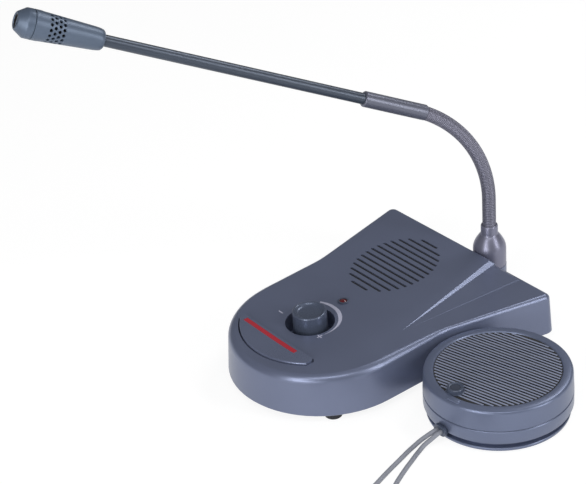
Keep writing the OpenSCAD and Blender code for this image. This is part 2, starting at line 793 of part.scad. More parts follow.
module puck_cover() {
    color([0.2, 0.21, 0.24])
    at_puck() difference() {
        rotate_extrude($fn = 96)
            polygon([[puck_grille_r, puck_h - 5], [puck_grille_r, puck_h - 0.7], [puck_grille_r + 0.6, puck_h],
                [puck_r - 0.5, puck_h - 1.15], [puck_r, puck_h - 1.6], [puck_r + puck_flare, puck_seam + 0.25],
                [puck_r - 1.6, puck_seam + 0.25], [puck_r - 2.2, puck_h - 5]]);
        rotate([0, 0, puck_mic_angle]) translate([puck_mic_at, 0, puck_h - 6]) cylinder(d = 11.6, h = 8);
    }
    color([0.2, 0.21, 0.24])
    at_puck() rotate([0, 0, tab_angle]) translate([tab_at - 1.7, -4.4, puck_h - 2]) cube([3.4, 8.8, 2.6]);
}

module puck_grille() {
    color([0.15, 0.16, 0.18])
    at_puck() difference() {
        translate([0, 0, puck_h - 4.6]) cylinder(r = puck_grille_r - 0.1, h = 3.9, $fn = 96);
        translate([0, 0, puck_h - 6]) cylinder(r = puck_grille_r - 3, h = 3.4, $fn = 96);
        rotate([0, 0, slat_turn]) for (i = [0 : slat_count - 1]) let (y = (i - (slat_count - 1) / 2) * 2 * (puck_grille_r - 2) / slat_count,
            half = sqrt(pow(puck_grille_r - 1.6, 2) - y * y)) translate([-half, y - slat_w / 2,
                puck_h - 8]) cube([2 * half, slat_w, 12]);
        rotate([0, 0, puck_mic_angle]) translate([puck_mic_at, 0, puck_h - 6]) cylinder(d = 11.6, h = 8);
    }
}

// Place of the grommet's outer face, with +Z into the wall
module at_grommet() {
    translate([0, -puck_r - 3.2, exit_z[0]]) rotate([-90, 0, 0]) children();
}
module oval(d, h) {
    for (x = [-grommet_half, grommet_half]) translate([x, 0, 0]) cylinder(d = d, h = h);
    translate([-grommet_half, -d / 2, 0]) cube([2 * grommet_half, d, h]);
}

module puck_base() {
    color([0.13, 0.14, 0.16])
    at_puck() difference() {
        rotate_extrude($fn = 96)
            polygon([[0, 1.2], [puck_r - 2.4, 1.2], [puck_r - 1.9, 1.7], [puck_r - 1.9, 3.4],
                [puck_r - 1.4, 4.2],
                [puck_r + 0.4, 7.2], [puck_r + puck_flare, 8.2], [puck_r + puck_flare, puck_seam - 0.2],
                [puck_r - 1.8, puck_seam - 0.2], [puck_r - 1.8, puck_seam + 2], [puck_r - 4, puck_seam + 2],
                [puck_r - 4, 3.4], [0, 3.4]]);
        at_grommet() oval(5.7, 10);
        for (a = [45 : 90 : 315]) rotate([0, 0, a]) translate([34, 0, 0]) cylinder(d = 3.2, h = 6, $fn = 24);
    }
}

module puck_pad() {
    color([0.06, 0.06, 0.07])
    at_puck() tube(75, 62, 1.15);
}

module puck_speaker_frame() {
    color([0.3, 0.3, 0.32])
    at_puck() translate([0, 4, puck_h - 8]) rotate([180, 0, 0]) rotate_extrude($fn = 64)
        polygon([[0, 9], [6, 9], [8, 10.6], [25.5, 1.6], [25.5, 0], [28.5, 0], [28.5, 1.2],
            [26.5, 1.2], [26.5, 2.2], [12, 12.4], [0, 12.4]]);
}

module puck_speaker_magnet() {
    color([0.35, 0.35, 0.36])
    at_puck() translate([0, 4, 4.2]) cylinder(d = 22, h = puck_h - 8 - 12.5 - 4.2);
}

module puck_mic_ring() {
    color([0.1, 0.1, 0.11])
    at_puck() rotate([0, 0, puck_mic_angle]) translate([puck_mic_at, 0, puck_h - 5]) rotate_extrude($fn = 48)
        polygon([[3.3, 0], [5.7, 0], [5.7, 4.8], [5.35, 5], [5.3, 7.1], [4.9, 7.5], [4.4, 7.5],
            [4, 7.1], [3.3, 7]]);
}

module puck_mic_capsule() {
    color([0.25, 0.25, 0.27])
    at_puck() rotate([0, 0, puck_mic_angle]) translate([puck_mic_at, 0, puck_h - 5]) cylinder(r = 3.2, h = 6.8);
}

module puck_screws() {
    color([0.55, 0.55, 0.58])
    at_puck() for (a = [45 : 90 : 315]) rotate([0, 0, a]) translate([34, 0, 1.3]) {
        difference() {
            cylinder(d = 3.1, h = 9, $fn = 24);
            translate([0, 0, -0.1]) cylinder(d = 1.6, h = 1.4, $fn = 6);
        }
    }
}

// Oval grommet with both cables through it
module cable_grommet() {
    color([0.08, 0.08, 0.09])
    at_puck() at_grommet() {
        oval(5.6, 8);
        oval(7, 2.1);
    }
}

// ---- Cables ----

// Rings of a tube round a path, each in a frame that stays level
function sweep_ring(path, i, r, sides) = let (
    n = len(path), t = unit(path[min(i + 1, n - 1)] - path[max(i - 1, 0)]),
    s = unit(cross(t, [0, 0, 1])), u = cross(s, t))
    [for (k = [0 : sides - 1]) let (a = -360 * (k + 0.5) / sides) path[i] + r * (cos(a) * s + sin(a) * u)];

module sweep(path, r, sides) {
    loft([for (i = [0 : len(path) - 1]) sweep_ring(path, i, r, sides)]);
}

// The route on the counter, coming down from the grommet's height
function laid(route) = [for (i = [0 : len(route) - 1]) [route[i][0], route[i][1],
    i < len(exit_z) ? exit_z[i] : cable_r]];

// A flat two-layer coil: in along the counter, up one layer in the half turn where it turns back, and out again
coil_total = 2 * coil_turns + 0.25;
coil_climb = coil_total / 2 - 0.25;
function coil_turn_r(t) = coil_out_r - coil_pitch * (t < coil_total / 2 ? t : coil_total - t);
function coil_z(t) = cable_r + (cable_d + 0.5) * max(0, min(1, 2 * (t - coil_climb)));
function coil_path(entry, way, side) = let (
    heading = [cos(way), sin(way)],
        centre = entry + cable_d * heading + coil_out_r * side * [-heading[1], heading[0]],
    steps = coil_rings * coil_total,
    round_part = [for (i = [0 : steps]) let (t = i / coil_rings, a = way - 90 * side + side * 360 * t,
        r = coil_turn_r(t))
        [centre[0] + r * cos(a), centre[1] + r * sin(a), coil_z(t)]],
    last = round_part[len(round_part) - 1], leave = coil_leave(way, side))
    concat([[entry[0], entry[1], cable_r]], round_part,
        [for (k = [1 : 3]) last + k * cable_d * [cos(leave), sin(leave), 0]]);
function coil_leave(way, side) = way + side * 360 * coil_total;

speaker_coil = coil_path([136, -121.5], coil_way, -1);
mic_coil = coil_path([150, -108], coil_way, 1);

function path_length(path) = len(path) < 2 ? 0 : sum_steps(path, 1, 0);
function sum_steps(path, i, total) = i == len(path) ? total : sum_steps(path, i + 1,
    total + norm(path[i] - path[i - 1]));
function least_gap(path) = min([for (i = [0 : len(path) - 1],
    j = [i + coil_rings / 2 : len(path) - 1]) norm(path[i] - path[j])]) - cable_d;
echo(coil_length = path_length(speaker_coil), route_length = path_length(laid(speaker_route)),
    coil_gap = least_gap(speaker_coil));

module speaker_cord() { color([0.1, 0.1, 0.11]) sweep(laid(speaker_route), cable_r, 8); }
module mic_cord() { color([0.1, 0.1, 0.11]) sweep(laid(mic_route), cable_r, 8); }
module speaker_cord_coil() { color([0.1, 0.1, 0.11]) sweep(speaker_coil, cable_r, 6); }
module mic_cord_coil() { color([0.1, 0.1, 0.11]) sweep(mic_coil, cable_r, 6); }

// Small round audio plug at the end of a coil
module cable_plug(path, way) {
    color([0.1, 0.1, 0.11])
    translate(path[len(path) - 1]) rotate([0, 0, way]) rotate([0, 90, 0]) {
        rotate_extrude($fn = 32)
            polygon([[0, 0], [2.2, 0], [2.8, 7], [plug_r - 0.4, 8], [plug_r, 8.6], [plug_r, plug_len - 0.6],
                [plug_r - 0.6, plug_len], [2.6, plug_len], [2.6, plug_len + 1], [1.75, plug_len + 1],
                [1.75, plug_len + 11.4], [1.2, plug_len + 12.2], [1.6, plug_len + 13],
                    [0.7, plug_len + 15], [0, plug_len + 15]]);
    }
}

module speaker_plug() { cable_plug(speaker_coil, coil_leave(coil_way, -1)); }
module mic_plug() { cable_plug(mic_coil, coil_leave(coil_way, 1)); }

module set_down() { translate([-mid_x, -mid_y, 0]) children(); }

set_down() upper_housing();
set_down() base_plate();
set_down() rubber_feet();
set_down() housing_screws();
set_down() main_speaker_frame();
set_down() main_speaker_cone();
set_down() main_speaker_magnet();
set_down() grille_cloth();
set_down() circuit_board();
set_down() volume_pot();
set_down() tact_switch();
set_down() key_return_dome();
set_down() key_hinge_pin();
set_down() status_led();
set_down() led_bezel();
set_down() dc_inlet();
set_down() line_jacks();
set_down() rear_socket_strip();
set_down() neck_socket();
set_down() neck_nut();
set_down() neck_boot();
set_down() talk_key();
set_down() key_stripe();
set_down() volume_knob();
set_down() knob_shaft();
set_down() neck_root();
set_down() neck_link_1();
set_down() neck_link_2();
set_down() neck_link_3();
set_down() neck_link_4();
set_down() neck_link_5();
set_down() neck_link_6();
set_down() stem_ferrule();
set_down() stem_tube();
set_down() mic_housing();
set_down() mic_cap();
set_down() mic_capsule();
set_down() mic_foam();
set_down() puck_cover();
set_down() puck_grille();
set_down() puck_base();
set_down() puck_pad();
set_down() puck_speaker_frame();
set_down() puck_speaker_magnet();
set_down() puck_mic_ring();
set_down() puck_mic_capsule();
set_down() puck_screws();
set_down() cable_grommet();
set_down() speaker_cord();
set_down() speaker_cord_coil();
set_down() speaker_plug();
set_down() mic_cord();
set_down() mic_cord_coil();
set_down() mic_plug();
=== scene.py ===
import json
from math import cos, pi, radians, sin

import bmesh
import bpy
from mathutils import Matrix, Vector


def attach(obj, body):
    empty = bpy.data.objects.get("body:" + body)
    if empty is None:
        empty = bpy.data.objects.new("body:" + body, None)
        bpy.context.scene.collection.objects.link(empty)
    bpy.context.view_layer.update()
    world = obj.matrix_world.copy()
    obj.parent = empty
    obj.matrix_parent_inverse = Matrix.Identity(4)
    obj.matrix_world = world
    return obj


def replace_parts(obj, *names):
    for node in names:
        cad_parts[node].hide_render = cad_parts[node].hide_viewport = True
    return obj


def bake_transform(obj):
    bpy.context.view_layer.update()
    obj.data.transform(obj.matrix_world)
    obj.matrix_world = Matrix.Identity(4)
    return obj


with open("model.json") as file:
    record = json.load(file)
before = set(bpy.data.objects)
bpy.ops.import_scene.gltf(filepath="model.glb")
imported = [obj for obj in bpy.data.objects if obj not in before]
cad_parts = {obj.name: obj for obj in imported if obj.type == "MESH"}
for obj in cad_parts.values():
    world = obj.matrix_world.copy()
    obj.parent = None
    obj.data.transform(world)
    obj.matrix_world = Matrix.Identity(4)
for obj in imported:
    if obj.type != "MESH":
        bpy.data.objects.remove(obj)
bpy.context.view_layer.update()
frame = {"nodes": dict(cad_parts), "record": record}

mm = 0.001

# the desk unit's own middle, seen from the model's origin, in mm
deskMiddle = Vector((-28.6, 25.28, 0))
topHeight = 35.5


def desk(x, y, z):
    return (Vector((x, y, z)) + deskMiddle) * mm


camera = {
    "azimuth": 53.53,
    "elevation": 31.0,
    "roll": 4.3,
    "focalPixels": 1913.0,
    "distance": 1.2342,
    "aim": desk(-7, -38.5, topHeight),  # the knob's foot, which shows at this pixel
    "aimPixel": (310, 320),
    "frameSize": (586, 484),
}


def makeCamera(facts):
    azimuth, elevation, roll = (radians(facts[k]) for k in ("azimuth", "elevation", "roll"))
    back = Vector((sin(azimuth) * cos(elevation), -cos(azimuth) * cos(elevation), sin(elevation)))
    level = Vector((cos(azimuth), sin(azimuth), 0))
    upright = back.cross(level)
    right = level * cos(roll) - upright * sin(roll)
    up = level * sin(roll) + upright * cos(roll)
    width, height = facts["frameSize"]
    perPixel = facts["distance"] / facts["focalPixels"]
    place = facts["aim"] + back * facts["distance"]
    place -= right * (facts["aimPixel"][0] - width / 2) * perPixel
    place += up * (facts["aimPixel"][1] - height / 2) * perPixel
    data = bpy.data.cameras.new("photoCamera")
    data.sensor_fit = "HORIZONTAL"
    data.sensor_width = 36
    data.lens = facts["focalPixels"] * data.sensor_width / width
    data.clip_end = 20
    item = bpy.data.objects.new("photoCamera", data)
    bpy.context.scene.collection.objects.link(item)
    item.matrix_world = Matrix.Translation(place) @ Matrix((right, up, back)).transposed().to_4x4()
    bpy.context.scene.camera = item


makeCamera(camera)
print("camera is set")


# an output socket that can be added to, multiplied and compared like a number
class Signal:
    def __init__(self, finish, socket):
        self.finish = finish
        self.socket = socket

    def combine(self, operation, first, second):
        return self.finish.node("ShaderNodeMath", {"operation": operation}, {0: first, 1: second})

    def __add__(self, other):
        return self.combine("ADD", self, other)

    def __sub__(self, other):
        return self.combine("SUBTRACT", self, other)

    def __mul__(self, other):
        return self.combine("MULTIPLY", self, other)

    def __gt__(self, other):
        return self.combine("GREATER_THAN", self, other)


# one material: a principled shader, and the nodes that feed it
class Finish:
    def __init__(self, name, facts):
        self.material = bpy.data.materials.new(name)
        self.material.use_nodes = True
        self.tree = self.material.node_tree
        self.tree.nodes.clear()
        self.shader = self.tree.nodes.new("ShaderNodeBsdfPrincipled")
        self.output = self.tree.nodes.new("ShaderNodeOutputMaterial")
        self.tree.links.new(self.shader.outputs[0], self.output.inputs["Surface"])
        for socketName, value in facts.items():
            self.shader.inputs[socketName].default_value = value
        self.place = self.node("ShaderNodeTexCoord", {}, {}, "Object")

    def feed(self, socket, value):
        if isinstance(value, Signal):
            self.tree.links.new(value.socket, socket)
        else:
            socket.default_value = value

    # any other node: its type, its settings and the values or links of its sockets
    def node(self, kind, settings, sockets, output=0):
        made = self.tree.nodes.new(kind)
        for key, value in settings.items():
            setattr(made, key, value)
        for key, value in sockets.items():
            self.feed(made.inputs[key], value)
        return Signal(self, made.outputs[output])

    def noise(self, scale, detail=3.0, roughness=0.55):
        sockets = {"Vector": self.place, "Scale": scale, "Detail": detail, "Roughness": roughness}
        return self.node("ShaderNodeTexNoise", {}, sockets, "Fac")

    def between(self, mask, first, second):
        return self.node("ShaderNodeMix", {"data_type": "RGBA"}, {"Factor": mask, 6: first, 7: second}, 2)

    def bump(self, height, strength, distance):
        sockets = {"Height": height, "Strength": strength, "Distance": distance}
        normal = self.node("ShaderNodeBump", {}, sockets, "Normal")
        self.feed(self.shader.inputs["Normal"], normal)

    def set(self, socketName, value):
        self.feed(self.shader.inputs[socketName], value)


# a colour as it is seen on a screen, 0 to 255, made linear
def colour(red, green, blue):
    return (*[c / 255 / 12.92 if c < 11 else ((c / 255 + 0.055) / 1.055) ** 2.4 for c in (red, green, blue)], 1)


# the same colour made lighter or darker
def tinted(base, factor, lift=0.0):
    return (*[min(1, c * factor + lift) for c in base[:3]], 1)


# spark-eroded grain, slightly uneven gloss, a little shade drift and, where it is painted, a pearl sheen
def mouldedPlastic(name, base, roughness, grain=0.00045, depth=0.00002, drift=0.1, pearl=0.0):
    finish = Finish(name, {"IOR": 1.5, "Metallic": pearl})
    cloud = finish.noise(18, 2)
    fine = finish.noise(1 / grain, 2, 0.6)
    finish.set("Base Color", finish.between(cloud, tinted(base, 1 - drift), tinted(base, 1 + drift)))
    finish.set("Roughness", (fine - 0.5) * 0.18 + (cloud - 0.5) * 0.08 + roughness)
    finish.bump(fine, 0.35, depth)
    return finish.material


def softRubber(name, base, roughness):
    finish = Finish(name, {"IOR": 1.5, "Specular IOR Level": 0.35})
    dust = finish.noise(60, 4)
    fine = finish.noise(3200, 2)
    finish.set("Base Color", finish.between(dust, base, tinted(base, 1.5, 0.004)))
    finish.set("Roughness", dust * 0.12 + roughness)
    finish.bump(fine, 0.3, 0.00003)
    return finish.material


def metal(name, base, roughness, metallic=1.0, grain=900.0):
    finish = Finish(name, {"Metallic": metallic})
    streaks = finish.noise(grain, 3, 0.7)
    finish.set("Base Color", finish.between(streaks, tinted(base, 0.85), base))
    finish.set("Roughness", streaks * 0.16 + roughness)
    finish.bump(streaks, 0.15, 0.00002)
    return finish.material


def wovenCloth(name, base, pitch):
    finish = Finish(name, {"Roughness": 0.95, "Sheen Weight": 0.2})
    axes = [finish.node("ShaderNodeSeparateXYZ", {}, {0: finish.place}, k) for k in (0, 1)]
    across, along = (finish.node("ShaderNodeMath", {"operation": "SINE"}, {0: axis * (2 * pi / pitch)}) for axis in axes)
    threads = across * along
    finish.set("Base Color", finish.between(threads * 0.5 + 0.5, tinted(base, 0.4), base))
    finish.bump(threads, 0.6, 0.0001)
    return finish.material


def printedBoard(name, base):
    finish = Finish(name, {"Roughness": 0.35, "Coat Weight": 0.4})
    cells = finish.node("ShaderNodeTexVoronoi", {"feature": "DISTANCE_TO_EDGE"},
        {"Vector": finish.place, "Scale": 260.0}, "Distance")
    finish.set("Base Color", finish.between(cells > 0.06, tinted(base, 1.8), base))
    finish.bump(cells, 0.2, 0.00004)
    return finish.material


def clearLens(name, base):
    finish = Finish(name, {"Roughness": 0.12, "IOR": 1.5, "Coat Roughness": 0.05})
    depth = finish.noise(240, 2)
    finish.set("Base Color", finish.between(depth, base, tinted(base, 1.6)))
    finish.set("Coat Weight", 0.6)
    return finish.material


finishes = {
    "housing": mouldedPlastic("housingPaint", colour(111, 119, 144), 0.33, pearl=0.45),
    "key": mouldedPlastic("keyPaint", colour(113, 121, 146), 0.3, pearl=0.45),
    "knob": mouldedPlastic("knobPaint", colour(90, 99, 119), 0.3, 0.0004, pearl=0.4),
    "dark_plastic": mouldedPlastic("darkPlastic", colour(76, 84, 102), 0.32, pearl=0.2),
    "puck_shell": mouldedPlastic("puckPaint", colour(106, 115, 140), 0.34, pearl=0.45),
    "rubber": softRubber("footRubber", colour(38, 39, 43), 0.62),
    "steel": metal("zincSteel", colour(182, 184, 190), 0.34),
    "speaker_steel": metal("stampedSteel", colour(50, 51, 55), 0.5, 0.6),
    "cone_paper": wovenCloth("conePaper", colour(28, 28, 31), 0.0011),
    # near black: dark cloth, darkened further to act as painted shade for what shows through slots, vents and the
    # grille
    "cloth": wovenCloth("speakerClothAndShade", colour(12, 12, 15), 0.0009),
    "board": printedBoard("boardGreen", colour(30, 84, 52)),
    "stripe_red": mouldedPlastic("stripeRed", colour(172, 40, 54), 0.45),
    "led_red": clearLens("lampRed", colour(80, 16, 24)),
    "neck_metal": metal("neckGrey", colour(128, 128, 144), 0.36, 0.6, 1400.0),
    "stem_metal": mouldedPlastic("stemPaint", colour(68, 76, 89), 0.34, 0.0004, pearl=0.45),
    "capsule": softRubber("micFelt", colour(50, 55, 68), 0.8),
    "cable": softRubber("cableRubber", colour(124, 127, 136), 0.5),
    # a lighter copy of the housing's paint: painted highlight on the boot
    "boot": mouldedPlastic("bootLitPaint", colour(126, 127, 146), 0.36, pearl=0.55),
    "ferrule": mouldedPlastic("ferrulePaint", colour(104, 107, 122), 0.34, 0.0004, pearl=0.45),
    "head": mouldedPlastic("headPaint", colour(90, 103, 122), 0.42, pearl=0.35),
    # a lighter copy of the puck's paint: painted highlight on the slats
    "slat": mouldedPlastic("litSlatPaint", colour(150, 158, 183), 0.4, pearl=0.4),
    "print": mouldedPlastic("printGrey", colour(176, 178, 198), 0.4, 0.0003, 0.00001, 0.04),
}
print("finishes are made")


def bodyOf(nodeName):
    return next(name for name, nodes in frame["record"]["behaviour"]["bodies"].items() if nodeName in nodes)


def slotOf(nodeName):
    return next(part["material_slot"] for part in frame["record"]["subparts"] if part["node"] == nodeName)


# smooth shading that breaks at sharp edges
def shade(mesh, sharpAngle):
    for face in mesh.faces:
        face.smooth = True
    for edge in mesh.edges:
        edge.smooth = len(edge.link_faces) == 2 and edge.calc_face_angle(pi) < sharpAngle


def finishPiece(mesh, name, slotName, body, sharpAngle=radians(40), weighted=True, finishName=None):
    shade(mesh, sharpAngle)
    data = bpy.data.meshes.new(name)
    mesh.to_mesh(data)
    mesh.free()
    item = bpy.data.objects.new(name, data)
    bpy.context.scene.collection.objects.link(item)
    data.materials.append(finishes[finishName or slotName])
    if weighted:
        modifier = item.modifiers.new("evenNormals", "WEIGHTED_NORMAL")
        modifier.keep_sharp = True
    if body:
        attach(item, body)
    return item


# a merged copy of a CAD node, with its true edges rounded over; reshape may work on its mesh first
def refined(nodeName, pieceName, edge, sharpAngle=30, segments=2, finishName=None, reshape=None):
    source = frame["nodes"][nodeName]
    mesh = bmesh.new()
    mesh.from_mesh(source.data)
    bmesh.ops.remove_doubles(mesh, verts=mesh.verts, dist=3e-6)
    bmesh.ops.dissolve_limit(mesh, angle_limit=radians(0.15), verts=mesh.verts, edges=mesh.edges)
    if reshape:
        reshape(mesh)
    corners = [e for e in mesh.edges if len(e.link_faces) == 2 and e.calc_face_angle(0) > radians(sharpAngle)]
    if edge:
        bmesh.ops.bevel(mesh, geom=corners, offset=edge, offset_type="OFFSET", segments=segments, profile=0.5,
            affect="EDGES", material=-1, clamp_overlap=True)
    item = finishPiece(mesh, pieceName, slotOf(nodeName), bodyOf(nodeName), radians(42), True, finishName)
    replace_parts(item, nodeName)
    return item


# a turned piece: its profile is a list of (radius, height) in mm, spun about +Z and then set in place
def turned(profile, steps=96):
    mesh = bmesh.new()
    verts = [mesh.verts.new((radius * mm, 0, height * mm)) for radius, height in profile]
    edges = [mesh.edges.new(pair) for pair in zip(verts, verts[1:])]
    bmesh.ops.spin(mesh, geom=verts + edges, cent=(0, 0, 0), axis=(0, 0, 1), angle=2 * pi, steps=steps, use_merge=True)
    bmesh.ops.remove_doubles(mesh, verts=mesh.verts, dist=1e-6)
    bmesh.ops.recalc_face_normals(mesh, faces=mesh.faces)
    return mesh


# stands a turned piece at a place, with +Z along the way it runs
def stand(mesh, place, way=Vector((0, 0, 1))):
    turn = way.to_track_quat("Z", "Y").to_matrix().to_4x4()
    bmesh.ops.transform(mesh, matrix=Matrix.Translation(place) @ turn, verts=mesh.verts)
    return mesh


# a block with its three sizes in mm, set in place by a matrix
def block(mesh, place, size):
    matrix = place @ Matrix.Diagonal((*[side * mm for side in size], 1))
    return bmesh.ops.create_cube(mesh, size=1, matrix=matrix)["verts"]


# cuts the second mesh out of the first
def cutOut(mesh, tool):
    items = []
    for part in (mesh, tool):
        data = bpy.data.meshes.new("cutting")
        part.to_mesh(data)
        part.free()
        items.append(bpy.data.objects.new("cutting", data))
        bpy.context.scene.collection.objects.link(items[-1])
    modifier = items[0].modifiers.new("cut", "BOOLEAN")
    modifier.operation = "DIFFERENCE"
    modifier.solver = "EXACT"
    modifier.object = items[1]
    bpy.context.view_layer.update()
    result = bmesh.new()
    result.from_object(items[0], bpy.context.evaluated_depsgraph_get())
    for item in items:
        data = item.data
        bpy.data.objects.remove(item)
        bpy.data.meshes.remove(data)
    return result


# the cables lie on the same routes as the solids
cables = {
    "diameter": 3.0,
    "turns": 6,
    "pitch": 3.5,
    "innerRadius": 7.6,
    "stepsPerTurn": 48,
    "way": -43.4,
    "exitHeights": (9, 9, 6.6, 3.2),
    "speakerRoute": ((109.45, -34.7), (109.45, -37.6), (107.5, -41.2), (105.1, -45.6), (104.9, -50.5), (106.2, -56),
        (108.3, -63), (110.6, -71), (113.6, -81), (116.9, -91), (120, -100), (124, -108), (129.5, -115.2), (136, -121.5)),
    "micRoute": ((112.95, -34.7), (112.95, -37.6), (111.8, -41.6), (110, -46.2), (110.6, -50.9), (112.4, -55.4),
        (114.6, -60.4), (117.4, -67), (121, -74.7), (124.9, -82.3), (129.5, -89), (135.3, -95.6), (142.2, -101.8), (150, -108)),
}


# a smooth line through all the points
def smoothRoute(points, perSpan):
    line = []
    for i in range(len(points) - 1):
        before, start, end, after = (points[min(max(j, 0), len(points) - 1)] for j in range(i - 1, i + 3))
        for step in range(perSpan):
            t = step / perSpan
            line.append(0.5 * (2 * start + (end - before) * t + (2 * before - 5 * start + 4 * end - after) * t * t
                + (3 * start - before - 3 * end + after) * t ** 3))
    return line + [points[-1]]


# in along the counter, up one layer in the half turn where it turns back, and out again
def coilRoute(entry, side, facts):
    way, radius = radians(facts["way"]), facts["diameter"] / 2
    outer = facts["innerRadius"] + facts["turns"] * facts["pitch"]
    heading = Vector((cos(way), sin(way), 0))
    centre = entry + heading * facts["diameter"] + Vector((-heading.y, heading.x, 0)) * side * outer
    total = 2 * facts["turns"] + 0.25
    points = [entry]
    for i in range(int(facts["stepsPerTurn"] * total) + 1):
        t = i / facts["stepsPerTurn"]
        angle = way - side * pi / 2 + side * 2 * pi * t
        reach = outer - facts["pitch"] * min(t, total - t)
        height = radius + (facts["diameter"] + 0.5) * min(1, max(0, 2 * (t - total / 2 + 0.25)))
        points.append(Vector((centre.x + reach * cos(angle), centre.y + reach * sin(angle), height)))
    leave = way + side * 2 * pi * total
    return points + [points[-1] + Vector((cos(leave), sin(leave), 0)) * facts["diameter"] * k for k in (1, 2, 3)]


def makeCable(name, routeKey, side, facts):
    radius = facts["diameter"] / 2
    heights = facts["exitHeights"]
    laid = [Vector((x, y, heights[i] if i < len(heights) else radius)) for i, (x, y) in enumerate(facts[routeKey])]
    line = smoothRoute(laid, 5) + coilRoute(laid[-1], side, facts)[1:]
    data = bpy.data.curves.new(name, "CURVE")
    data.dimensions = "3D"
    data.bevel_depth = radius * mm
    data.bevel_resolution = 4
    data.use_fill_caps = True
    spline = data.splines.new("POLY")
    spline.points.add(len(line) - 1)
    for point, place in zip(spline.points, line):
        point.co = (*desk(*place), 1)
    spline.use_smooth = True
    item = bpy.data.objects.new(name, data)
    bpy.context.scene.collection.objects.link(item)
    data.materials.append(finishes["cable"])
    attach(item, "desk_unit")
    length = sum((b - a).length for a, b in zip(line, line[1:])) * mm
    return item, length, desk(*line[0])


for cordName, routeKey, side in (("speaker_cord", "speakerRoute", -1), ("mic_cord", "micRoute", 1)):
    cable, cableLength, cableExit = makeCable(cordName.replace("_cord", "Cable"), routeKey, side, cables)
    plug = refined(cordName.replace("cord", "plug"), cordName.replace("_cord", "Plug"), 0.15 * mm)
    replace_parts(cable, cordName, cordName + "_coil")
    print("cable of", round(cableLength, 3), "m")


housing = {
    "fan": (44, -4),
    "ridges": ((23.4, 88.6, 2.6, 1.0), (48.7, 85.8, 0.9, 0.8)),  # rear end; how far its foot moves out and down
    "nearFoot": (-0.6, 0.9),  # how far aside of its line a ridge's foot may lie
    "spread": 5.0,  # over this width beside a ridge the move fades away
    "movedHeights": (24.0, 35.42),
    "sinkHeights": (31.0, 34.0),  # over these heights the sinking sets in
    "boot": (7, 107.5),
    "towerRadius": 11.4,
    "towerReach": 16.5,
    "towerTop": 22.5,
    "rearEdge": 97.8,
}


# moves a ridge's foot out and down, so that its sloping band is wide enough to catch the light
def widenRidge(mesh, rearX, rearY, band, sink):
    fan = desk(*housing["fan"], 0)
    way = desk(rearX, rearY, 0) - fan
    reach = way.length
    way.normalize()
    inner, outer = housing["nearFoot"]
    lowest, highest = housing["movedHeights"]
    sinkLow, sinkHigh = housing["sinkHeights"]
    for vert in mesh.verts:
        out = vert.co - fan
        along = (out.x * way.x + out.y * way.y) / reach
        aside = (out.x * way.y - out.y * way.x) / mm
        height = vert.co.z / mm
        if along > 0.03 and inner < aside < housing["spread"] and lowest < height < highest:
            share = min(1.05, 1.5 * along, 0.35 + 0.7 * along)
            share *= 1 - max(0, aside - outer) / housing["spread"]
            settle = min(1, max(0, height - sinkLow) / (sinkHigh - sinkLow))
            vert.co += Vector((way.y * band, -way.x * band, -sink * settle)) * share * mm


# draws the tower behind the housing in to the width of the boot that stands on it
def narrowTower(mesh):
    centre = desk(*housing["boot"], 0)
    nearest = desk(0, housing["rearEdge"], 0).y
    radius = housing["towerRadius"] * mm
    for vert in mesh.verts:
        out = (vert.co - centre).xy
        inTower = vert.co.y > nearest and vert.co.z < housing["towerTop"] * mm and abs(out.x) < housing["towerReach"] * mm
        if inTower and out.length > radius:
            out *= radius / out.length
            vert.co.x = centre.x + out.x
            vert.co.y = max(nearest, centre.y + out.y)


def shapeHousing(mesh):
    for ridge in housing["ridges"]:
        widenRidge(mesh, *ridge)
    narrowTower(mesh)


talkKey = {
    "middle": (-5, -33.6),
    "arcFrom": 50.5,  # the curved edge lies farther out than this
    "lip": 0.95,
    "lowest": 33.0,
}


# rounds the key's curved front edge, which stands proud of the top
def shapeKey(mesh):
    centre = desk(*talkKey["middle"], 0)
    lip = []
    for edge in mesh.edges:
        onArc = all((v.co - centre).xy.length > talkKey["arcFrom"] * mm for v in edge.verts)
        onTop = all(v.co.z > talkKey["lowest"] * mm for v in edge.verts)
        if onArc and onTop and len(edge.link_faces) == 2 and edge.calc_face_angle(0) > radians(40):
            lip.append(edge)
    bmesh.ops.bevel(mesh, geom=lip, offset=talkKey["lip"] * mm, offset_type="OFFSET", segments=5, profile=0.5,
        affect="EDGES", material=-1, clamp_overlap=False)


refined("upper_housing", "housingShell", 0.3 * mm, 28, 3, reshape=shapeHousing)
refined("base_plate", "basePlate", 0.15 * mm)
refined("talk_key", "talkKey", 0, reshape=shapeKey)
refined("key_stripe", "keyStripe", 0.15 * mm)
refined("rubber_feet", "rubberFeet", 0.2 * mm)
refined("status_led", "statusLamp", 0)
refined("led_bezel", "lampBezel", 0)
for nodeName in ("housing_screws", "main_speaker_frame", "main_speaker_cone", "main_speaker_magnet",
        "circuit_board", "volume_pot", "tact_switch", "key_return_dome", "key_hinge_pin", "dc_inlet", "line_jacks",
        "rear_socket_strip", "neck_socket", "neck_nut", "knob_shaft", "stem_tube",
        "mic_foam", "puck_pad", "puck_speaker_magnet", "puck_mic_ring", "puck_mic_capsule", "puck_screws"):
    first, *rest = nodeName.split("_")
    refined(nodeName, first + "".join(word.title() for word in rest), 0)
refined("stem_ferrule", "stemFerrule", 0, finishName="ferrule")


knob = {
    "place": (-7, -38.5, 22.7),
    "height": 20.54,
    "radius": 11.5,
    "dish": 1.9,
}


def makeKnob(facts):
    radius, top = facts["radius"], facts["height"]
    profile = [(0, 0), (radius - 0.7, 0), (radius, 0.6), (radius - 0.35, top - 1.5)]
    profile += [(radius - 1.55 + 1.2 * cos(radians(a)), top - 1.2 + 1.2 * sin(radians(a))) for a in range(0, 91, 15)]
    profile += [(radius - 2.0, top - 0.15), (radius - 2.7, top - 1.0), (radius - 3.6, top - facts["dish"] + 0.2),
        (radius - 5, top - facts["dish"]), (0, top - facts["dish"] - 0.1)]
    mesh = stand(turned(profile), desk(*facts["place"]))
    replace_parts(finishPiece(mesh, "volumeKnob", "knob", "knob", radians(50), False), "volume_knob")


